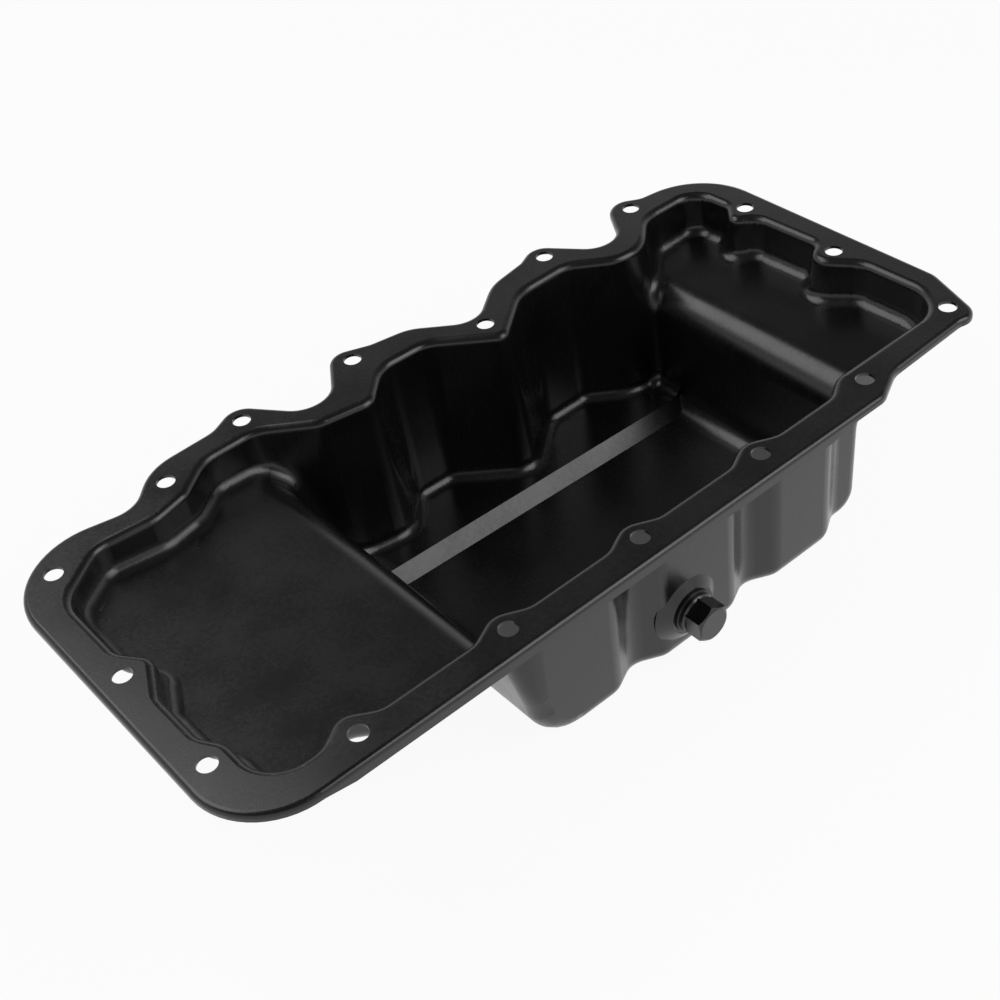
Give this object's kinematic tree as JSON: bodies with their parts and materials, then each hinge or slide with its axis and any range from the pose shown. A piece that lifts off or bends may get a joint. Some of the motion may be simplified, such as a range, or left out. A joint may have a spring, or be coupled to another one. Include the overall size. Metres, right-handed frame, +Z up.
{
  "type": "engine oil pan",
  "caption": "Pressed sheet-steel engine oil pan with a bolted flange, scalloped walls, a shallow tray, a deep sump and a drain plug.",
  "frame": {"origin": "on the ground under the middle of the pan's bounding box, where the sump's flat bottom stands", "axes": "+X along the pan's length from the shallow tray to the sump's far shelf, +Y from the straight side with the drain plug to the scalloped side, +Z up to the flange"},
  "size_m": [0.4404, 0.2224, 0.0925],
  "materials": {
    "black_paint": "satin",
    "plug_steel": "satin",
    "washer_metal": "satin",
    "boss_steel": "satin"
  },
  "bodies": {
    "root": {"pan_shell": "black_paint", "drain_boss": "boss_steel", "sealing_washer": "washer_metal", "drain_plug": "plug_steel"}
  },
  "joints": []
}
